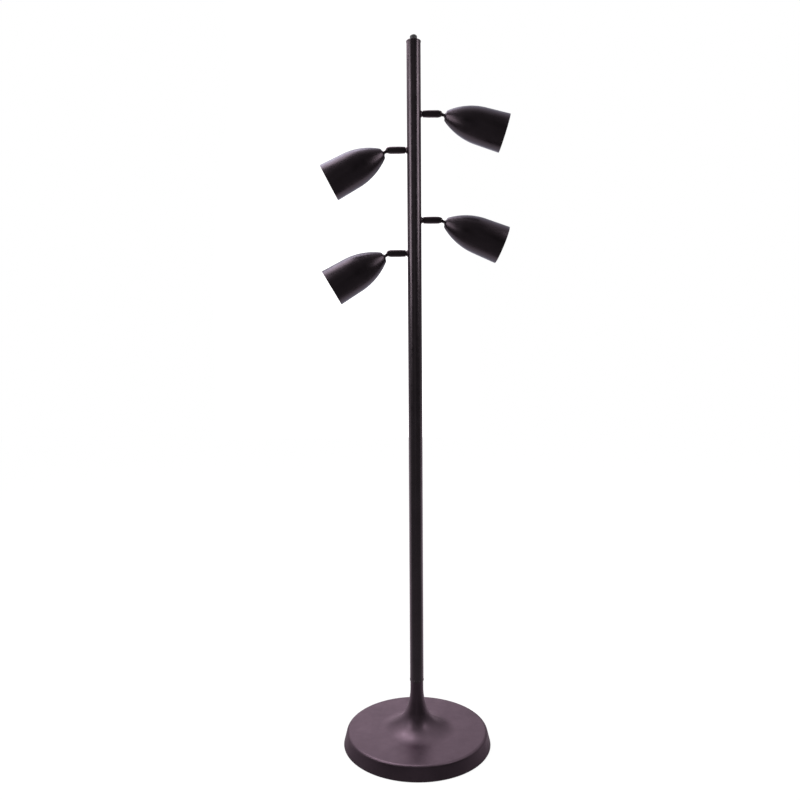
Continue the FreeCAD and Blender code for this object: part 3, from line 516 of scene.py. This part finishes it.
# %% Find each head's place
def head_frame(head):
    """From the workbench to one head: Z runs along the shade and Y along the knuckle's pin."""
    tilt = joints["tilt_" + head]
    pin_axis = Vector(tilt["axis"]).normalized()
    arm = Vector(joints["turn_" + head]["axis"])
    lean = math.radians(sum(tilt["range_deg"]) / 2)
    along = Quaternion(pin_axis, -lean) @ arm
    turned = Matrix((pin_axis.cross(along), pin_axis, along)).transposed().to_4x4()
    return Matrix.Translation(tilt["pos_m"]) @ turned


placements = {head: head_frame(head) for head in HEADS}


def on_bench(node, head):
    """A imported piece's points, face normals and corners, as they would be on the workbench."""
    mesh = nodes[node].data
    points = np.empty(len(mesh.vertices) * 3, np.float32)
    normals = np.empty(len(mesh.polygons) * 3, np.float32)
    corners = np.empty(len(mesh.loops), np.int32)
    mesh.vertices.foreach_get("co", points)
    mesh.polygons.foreach_get("normal", normals)
    mesh.loops.foreach_get("vertex_index", corners)
    to_bench = np.array(placements[head].inverted())
    turn = to_bench[:3, :3].T
    points = points.reshape(-1, 3) @ turn + to_bench[:3, 3]
    return points, normals.reshape(-1, 3) @ turn, corners.reshape(-1, 3)


OUTLINE_PLAY = 0.004 * MM       # how far a ring that is left out may be from its neighbours' line


def needed_rings(rings):
    """The rings that the outline needs; those on a straight line between two others are left out."""
    kept = [rings[0]]
    first = 0
    for last in range(2, len(rings)):
        place, radius = rings[first]
        slope = (rings[last][1] - radius) / (rings[last][0] - place)
        between = rings[first + 1:last]
        if max(abs(radius + slope * (ring[0] - place) - ring[1]) for ring in between) > OUTLINE_PLAY:
            first = last - 1
            kept.append(rings[first])
    return kept + [rings[-1]]


OUTWARD = 0.02                  # least outward part of the normal of a face on the outer skin
PLACE_DIGITS = 5                # places that agree to this many digits are one ring


def outer_rings(node, head):
    """Radius and place of each ring on the outer skin of a turned piece, from its tip to its mouth."""
    points, normals, corners = on_bench(node, head)
    middles = points[corners].mean(axis=1)
    outward = (middles[:, :2] * normals[:, :2]).sum(axis=1) / np.hypot(middles[:, 0], middles[:, 1])
    skin = points[corners[outward > OUTWARD].ravel()]
    rings = {round(float(z), PLACE_DIGITS): float(np.hypot(x, y)) for x, y, z in skin}
    return needed_rings(sorted(rings.items()))


shade_rings = outer_rings("shade_upper_right", "upper_right")
print("shade:", len(shade_rings), "rings, mouth radius", round(shade_rings[-1][1] / MM, 2), "mm at",
      round(shade_rings[-1][0] / MM, 2), "mm from the pin")

# %% [markdown]
# ## The shade
#
# A bullet shade is spun from a disc of metal: the disc is pressed over a form until it is one thin wall
# with a blunt nose, a long curve and a straight skirt. It could be made as a sphere pulled long, but a
# spun form is easier to trust when it is built as it is drawn, ring by ring. So it starts as the circle
# of the hole in its nose, and the open edge is extruded and resized from ring to ring. Solidify gives
# it the real wall, with a second material slot for the enamel inside, and Bevel breaks the cut edges.

# %% Helpers for the workbench
def start_piece(name, vertices, radius, place):
    """An open circle on the workbench, ready in edit mode with its ring selected."""
    bpy.ops.object.select_all(action="DESELECT")
    bpy.ops.mesh.primitive_circle_add(vertices=vertices, radius=radius, location=(0, 0, 0))
    piece = bpy.context.object
    piece.name = name
    bpy.ops.object.mode_set(mode="EDIT")
    bpy.ops.mesh.select_all(action="SELECT")
    bpy.ops.transform.translate(value=(0, 0, place))
    return piece


def next_ring(old, new):
    """Extrude the open edge from one ring to the next; a ring is its place and its radius."""
    bpy.ops.mesh.extrude_region_move(TRANSFORM_OT_translate={"value": (0, 0, new[0] - old[0])})
    share = new[1] / old[1]
    bpy.ops.transform.resize(value=(share, share, 1), center_override=(0, 0, new[0]))
    return new


def apply_modifier(piece, kind, **settings):
    modifier = piece.modifiers.new(kind.lower(), kind)
    for setting, value in settings.items():
        setattr(modifier, setting, value)
    bpy.ops.object.modifier_apply(modifier=modifier.name)


def smooth_piece(piece, degrees=35):
    bpy.ops.object.select_all(action="DESELECT")
    piece.select_set(True)
    bpy.context.view_layer.objects.active = piece
    bpy.ops.object.shade_smooth_by_angle(angle=math.radians(degrees))


MERGE_REACH = 0.005 * MM


def turn_faces_out():
    bpy.ops.mesh.select_all(action="SELECT")
    bpy.ops.mesh.remove_doubles(threshold=MERGE_REACH)
    bpy.ops.mesh.normals_make_consistent(inside=False)


def remember_bench(piece):
    """Keep each point's place on the workbench as an attribute, for the patterns."""
    points = np.zeros(len(piece.data.vertices) * 3, np.float32)
    piece.data.vertices.foreach_get("co", points)
    bench = piece.data.attributes.new(BENCH, "FLOAT_VECTOR", "POINT")
    bench.data.foreach_set("vector", points)


def copy_to_heads(pattern, kind, frames, body):
    """One copy of a bench piece for each head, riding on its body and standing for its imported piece."""
    for head in HEADS:
        piece = pattern.copy()
        piece.data = pattern.data.copy()
        piece.name = pattern.name + "_" + head
        piece.data.name = piece.name
        piece.data.transform(frames[head])
        scene.collection.objects.link(piece)
        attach(piece, body + "_" + head)
        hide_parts(kind + "_" + head)
    print(pattern.name, "on", len(HEADS), "heads:", len(pattern.data.polygons), "faces each")
    bpy.data.objects.remove(pattern)


# %% Spin the shade
SHADE_SIDES = 96
SHADE_WALL = 1.0 * MM
LIP_ROUNDING = 0.35 * MM        # at most; narrow faces at the lip keep it to about 0.01 mm
SAME_PLACE = 0.02 * MM          # points this near to a place are in its ring


def least_radius(node, head, place):
    """Radius of the hole in a turned piece, where it starts at a given place."""
    points = on_bench(node, head)[0]
    close = points[np.abs(points[:, 2] - place) < SAME_PLACE]
    return float(np.hypot(close[:, 0], close[:, 1]).min())


nose_place = shade_rings[0][0]
nose_hole = least_radius("shade_upper_right", "upper_right", nose_place)
spun_shade = start_piece("spot_shade", SHADE_SIDES, nose_hole, nose_place)
ring = (nose_place, nose_hole)
for following in shade_rings:
    ring = next_ring(ring, following)
turn_faces_out()
bpy.ops.object.mode_set(mode="OBJECT")
spun_shade.data.materials.append(shade_paint.material)
spun_shade.data.materials.append(enamel.material)
apply_modifier(spun_shade, "SOLIDIFY", thickness=SHADE_WALL, offset=-1, use_even_offset=True,
               material_offset=1)
apply_modifier(spun_shade, "BEVEL", width=LIP_ROUNDING, segments=3, limit_method="ANGLE",
               angle_limit=math.radians(60))
smooth_piece(spun_shade)
remember_bench(spun_shade)
copy_to_heads(spun_shade, "shade", placements, "head")

# %% [markdown]
# ## The arm's barrel
#
# Each arm is a turned barrel, as thick as a finger. It starts at the seat on the pole, swells a little,
# and ends in a ball that is sawn in two, so that the shade's tongue can swing between the halves on a
# pivot screw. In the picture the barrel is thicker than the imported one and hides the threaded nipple,
# so it is turned again here. The turned form is drawn ring by ring, from the bottom of its bore, out
# along the bore and back over the outside. What a saw and a drill would remove is then cut away with
# Boolean modifiers.

# %% Turn the barrel
BARREL_SIDES = 64
BARREL_GAP = 0.6 * MM           # between the seat and the barrel
BARREL_FOOT = 7.0 * MM          # radius at the seat
BARREL_RADIUS = 7.5 * MM
BARREL_SWELL = 11 * MM          # length over which it thickens
BARREL_EDGE = 0.5 * MM          # chamfer at its foot
BARREL_SHOULDER = 2.5 * MM      # length over which it narrows to the ball
BALL_RADIUS = 6.75 * MM
BALL_STEP = 9                   # degrees between the rings of the ball
BALL_END = 72                   # degrees at which it is cut off flat
BORE_PLAY = 0.05 * MM
BORE_BOTTOM = 40.5 * MM         # from the pole's axis

seat_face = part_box("arm_seat_upper_right")[1][0]
nipple_low, nipple_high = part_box("arm_nipple_upper_right")
nipple_radius = (nipple_high[1] - nipple_low[1]) / 2
pin_place = joints["tilt_upper_right"]["pos_m"][0]
foot = seat_face + BARREL_GAP
bore = nipple_radius + BORE_PLAY

barrel = start_piece("arm_barrel", BARREL_SIDES, bore, BORE_BOTTOM)
bpy.ops.mesh.edge_face_add()
ring = next_ring((BORE_BOTTOM, bore), (foot, bore))
ring = next_ring(ring, (foot, BARREL_FOOT - BARREL_EDGE))
ring = next_ring(ring, (foot + BARREL_EDGE, BARREL_FOOT))
ring = next_ring(ring, (foot + BARREL_SWELL, BARREL_RADIUS))
ring = next_ring(ring, (pin_place - BARREL_SHOULDER, BARREL_RADIUS))
for degrees in range(0, BALL_END + BALL_STEP, BALL_STEP):
    angle = math.radians(degrees)
    ring = next_ring(ring, (pin_place + BALL_RADIUS * math.sin(angle), BALL_RADIUS * math.cos(angle)))
turn_faces_out()
bpy.ops.object.mode_set(mode="OBJECT")
print("barrel from", round(foot / MM, 1), "to", round(ring[0] / MM, 1), "mm from the pole's axis")

# %% Helpers for cutting
CUTTER_REACH = 12 * MM          # past the barrel's skin


def turned_cutter(rings):
    """A closed turned tool for cutting away; each ring is its place and its radius."""
    cutter = start_piece("cutter", BARREL_SIDES // 2, rings[0][1], rings[0][0])
    bpy.ops.mesh.edge_face_add()
    last = rings[0]
    for following in rings[1:]:
        last = next_ring(last, following)
    turn_faces_out()
    bpy.ops.object.mode_set(mode="OBJECT")
    return cutter


def aim_cutter(cutter, degrees, axis, place):
    """Turn a cutter from the arm's axis to across it, and move it to its place along the arm."""
    across = Matrix.Rotation(math.radians(degrees), 4, axis)
    cutter.data.transform(Matrix.Translation((0, 0, place)) @ across)


def cut_away(piece, cutter):
    """Remove from a piece what a cutter covers, and put the cutter away."""
    bpy.ops.object.select_all(action="DESELECT")
    piece.select_set(True)
    bpy.context.view_layer.objects.active = piece
    apply_modifier(piece, "BOOLEAN", object=cutter, operation="DIFFERENCE", solver="EXACT")
    bpy.data.objects.remove(cutter)


# %% Saw the slot
SLOT_WIDTH = 4.8 * MM
SLOT_DEPTH = 7.4 * MM           # from the pin towards the pole

slot_length = SLOT_DEPTH + CUTTER_REACH
bpy.ops.object.select_all(action="DESELECT")
bpy.ops.mesh.primitive_cube_add(size=1, location=(0, 0, 0))
saw = bpy.context.object
bpy.ops.object.mode_set(mode="EDIT")
bpy.ops.mesh.select_all(action="SELECT")
bpy.ops.transform.resize(value=(2 * CUTTER_REACH, SLOT_WIDTH, slot_length))
bpy.ops.transform.translate(value=(0, 0, pin_place - SLOT_DEPTH + slot_length / 2))
bpy.ops.object.mode_set(mode="OBJECT")
cut_away(barrel, saw)
print("slot", round(SLOT_WIDTH / MM, 1), "mm wide")

# %% Drill the holes for the screws and the lead
PIN_HOLE = 1.55 * MM            # radius
PIN_RECESS = 2.75 * MM          # radius of the pockets for the pivot screw's head and nut
RECESS_FLOOR = 4.7 * MM         # from the middle of the slot
GRUB_HOLE = 1.4 * MM
WIRE_HOLE = 2.0 * MM
BREAK_THROUGH = 1 * MM          # past the wall of the bore

pin_drill = turned_cutter(((-CUTTER_REACH, PIN_RECESS), (-RECESS_FLOOR, PIN_RECESS),
                           (-RECESS_FLOOR, PIN_HOLE), (RECESS_FLOOR, PIN_HOLE),
                           (RECESS_FLOOR, PIN_RECESS), (CUTTER_REACH, PIN_RECESS)))
aim_cutter(pin_drill, 90, "X", pin_place)
cut_away(barrel, pin_drill)
grub_drill = turned_cutter(((bore - BREAK_THROUGH, GRUB_HOLE), (CUTTER_REACH, GRUB_HOLE)))
aim_cutter(grub_drill, -90, "Y", joints["turn_upper_right"]["pos_m"][0])
cut_away(barrel, grub_drill)
wire_drill = turned_cutter(((BORE_BOTTOM - BREAK_THROUGH, WIRE_HOLE), (pin_place, WIRE_HOLE)))
cut_away(barrel, wire_drill)
print("drilled barrel:", len(barrel.data.polygons), "faces")

# %% Finish the barrel and put it on its arms
BARREL_BREAK = 0.18 * MM        # width of the broken edges

barrel.data.materials.append(arm_paint.material)
apply_modifier(barrel, "BEVEL", width=BARREL_BREAK, segments=2, limit_method="ANGLE",
               angle_limit=math.radians(40))
smooth_piece(barrel, 30)


def swivel_frame(head):
    """From the workbench to one arm: Z runs along it from the pole's axis, and Y along the pin."""
    turn = joints["turn_" + head]
    arm = Vector(turn["axis"])
    pin_axis = Vector(joints["tilt_" + head]["axis"]).normalized()
    turned = Matrix((pin_axis.cross(arm), pin_axis, arm)).transposed().to_4x4()
    return Matrix.Translation((0, 0, turn["pos_m"][2])) @ turned


swivels = {head: swivel_frame(head) for head in HEADS}
copy_to_heads(barrel, "barrel", swivels, "swivel")

# %% [markdown]
# ## The lampholder
#
# Inside each shade sits a black phenolic lampholder: a narrow collar on the hollow stud and a deep cup
# for the bulb. Moulded holders have grip ribs round the cup. The cup is raised ring by ring like the
# shade, with one face per rib and gap, and then every second face is inset and pressed in a little.

# %% Mould the lampholder
HOLDER_SIDES = 72
RIB_MARGIN = 0.12 * MM
RIB_DEPTH = 0.4 * MM
HOLDER_BORE_GAP = 0.5 * MM
RIB_HEIGHT = 2 * MM             # only faces taller than this get a rib
CUP_PLAY = 0.05 * MM            # a corner this near to the cup's radius is on the cup
HOLDER_BREAK = 0.15 * MM        # width of the broken edges

holder_rings = outer_rings("lampholder_upper_right", "upper_right")
bulb_rings = outer_rings("bulb_upper_right", "upper_right")
holder_start = holder_rings[0]
holder_end = holder_rings[-1]
cup_radius = max(radius for place, radius in holder_rings)
base_radius = max(radius for place, radius in bulb_rings if place < holder_end[0])

holder_hole = least_radius("lampholder_upper_right", "upper_right", holder_start[0])
holder = start_piece("bulb_holder", HOLDER_SIDES, holder_hole, holder_start[0])
ring = (holder_start[0], holder_hole)
for following in holder_rings:
    ring = next_ring(ring, following)
ring = next_ring(ring, (ring[0], base_radius + HOLDER_BORE_GAP))
ring = next_ring(ring, (bulb_rings[0][0], ring[1]))
bpy.ops.mesh.edge_face_add()
turn_faces_out()
bpy.ops.mesh.select_all(action="DESELECT")
bpy.ops.object.mode_set(mode="OBJECT")
for face in holder.data.polygons:
    corners = [holder.data.vertices[i].co for i in face.vertices]
    on_cup = all(math.hypot(c.x, c.y) > cup_radius - CUP_PLAY for c in corners)
    step = math.atan2(face.center.y, face.center.x) / math.tau * HOLDER_SIDES
    tall = max(c.z for c in corners) - min(c.z for c in corners) > RIB_HEIGHT
    face.select = on_cup and tall and math.floor(step) % 2 == 0
bpy.ops.object.mode_set(mode="EDIT")
bpy.ops.mesh.select_mode(type="FACE")
bpy.ops.mesh.inset(thickness=RIB_MARGIN, depth=-RIB_DEPTH, use_individual=True)
bpy.ops.object.mode_set(mode="OBJECT")
holder.data.materials.append(phenolic.material)
apply_modifier(holder, "BEVEL", width=HOLDER_BREAK, segments=2, limit_method="ANGLE",
               angle_limit=math.radians(50))
smooth_piece(holder)
remember_bench(holder)
copy_to_heads(holder, "lampholder", placements, "head")

# %% [markdown]
# ## The bulb
#
# A small frosted globe with a threaded cap. The glass starts as a sphere, because that part of it
# really is one; the lower part is cut away and the open edge is drawn down into the neck. The threaded
# cap is a metal sleeve of many plain rings. Its rolled thread is a wave that climbs by one pitch on
# each turn, so each point of those rings is moved in towards the axis by as much as the wave says at
# its own height and angle.

# %% Blow the glass
GLASS_SIDES = 64
GLASS_RINGS = 40
globe_radius = max(radius for place, radius in bulb_rings)
points = on_bench("bulb_upper_right", "upper_right")[0]
bulb_top = float(points[:, 2].max())
bulb_tip = float(points[:, 2].min())
globe_middle = bulb_top - globe_radius
NECK_CUT = -0.76                # height of the cut through the sphere, as a share of its radius
NECK_STEPS = 8
NECK_CURVE = 2.2                # how fast the neck narrows under the globe
NECK_LESS = 0.4 * MM            # how much less the neck's radius is than the base's
NECK_DEPTH = 6 * MM             # how far the neck goes into the lampholder
GLASS_WALL = 0.8 * MM
neck_radius = base_radius - NECK_LESS
neck_place = holder_end[0] - NECK_DEPTH

bpy.ops.object.select_all(action="DESELECT")
bpy.ops.mesh.primitive_uv_sphere_add(segments=GLASS_SIDES, ring_count=GLASS_RINGS, radius=globe_radius,
                                     location=(0, 0, 0))
glass = bpy.context.object
glass.name = "bulb_glass"
bpy.ops.object.mode_set(mode="EDIT")
bpy.ops.mesh.select_all(action="SELECT")
bpy.ops.transform.translate(value=(0, 0, globe_middle))
cut_place = globe_middle + NECK_CUT * globe_radius
bpy.ops.mesh.bisect(plane_co=(0, 0, cut_place), plane_no=(0, 0, 1), clear_inner=True, use_fill=False)
cut_radius = globe_radius * math.sqrt(1 - NECK_CUT ** 2)
ring = (cut_place, cut_radius)
for step in range(1, NECK_STEPS + 1):
    share = step / NECK_STEPS
    drop = cut_place + (neck_place - cut_place) * share
    narrowing = (1 - share) ** NECK_CURVE
    ring = next_ring(ring, (drop, neck_radius + (cut_radius - neck_radius) * narrowing))
turn_faces_out()
bpy.ops.object.mode_set(mode="OBJECT")
glass.data.materials.append(frosted.material)
apply_modifier(glass, "SOLIDIFY", thickness=GLASS_WALL, offset=-1, use_even_offset=True)
smooth_piece(glass, 50)
remember_bench(glass)
copy_to_heads(glass, "bulb", placements, "head")

# %% Roll the threaded cap
THREAD_PITCH = 3.6 * MM
THREAD_DEPTH = 0.9 * MM
THREAD_TURNS = 5
THREAD_STEPS = 8                # rings in one pitch
CAP_SIDES = 64
CONTACT_RADIUS = 3.6 * MM
CAP_OUTLINE = ((0.7, 4.2), (1.6, 4.4), (3.0, 9.4), (4.0, 11.4), (5.0, 12.1))  # place and radius
THREAD_MARGIN = 0.5 * MM        # plain sleeve before the thread
SLEEVE_LESS = 0.1 * MM          # how much less the sleeve's radius is than the base's
SLEEVE_DEPTH = 1 * MM           # how far inside the lampholder's mouth the sleeve ends
sleeve_radius = base_radius - SLEEVE_LESS

cap = start_piece("bulb_cap", CAP_SIDES, CONTACT_RADIUS, bulb_tip)
ring = (bulb_tip, CONTACT_RADIUS)
bpy.ops.mesh.edge_face_add()
for height, radius in CAP_OUTLINE:
    ring = next_ring(ring, (bulb_tip + height * MM, radius * MM))
thread_start = ring[0] + THREAD_MARGIN
thread_end = thread_start + THREAD_TURNS * THREAD_PITCH
for place in np.linspace(thread_start, thread_end, THREAD_TURNS * THREAD_STEPS + 1):
    ring = next_ring(ring, (float(place), sleeve_radius))
ring = next_ring(ring, (holder_end[0] - SLEEVE_DEPTH, sleeve_radius))
turn_faces_out()
bpy.ops.object.mode_set(mode="OBJECT")
for point in cap.data.vertices:
    place = point.co.z
    if thread_start < place < thread_end:
        angle = math.atan2(point.co.y, point.co.x)
        wave = 0.5 - 0.5 * math.cos(math.tau * (place / THREAD_PITCH) - angle)
        fade = min(1.0, (place - thread_start) / THREAD_PITCH, (thread_end - place) / THREAD_PITCH)
        share = 1 - wave * fade * THREAD_DEPTH / sleeve_radius
        point.co = (point.co.x * share, point.co.y * share, place)
cap.data.materials.append(brass.material)
smooth_piece(cap, 50)
remember_bench(cap)
copy_to_heads(cap, "bulb", placements, "head")
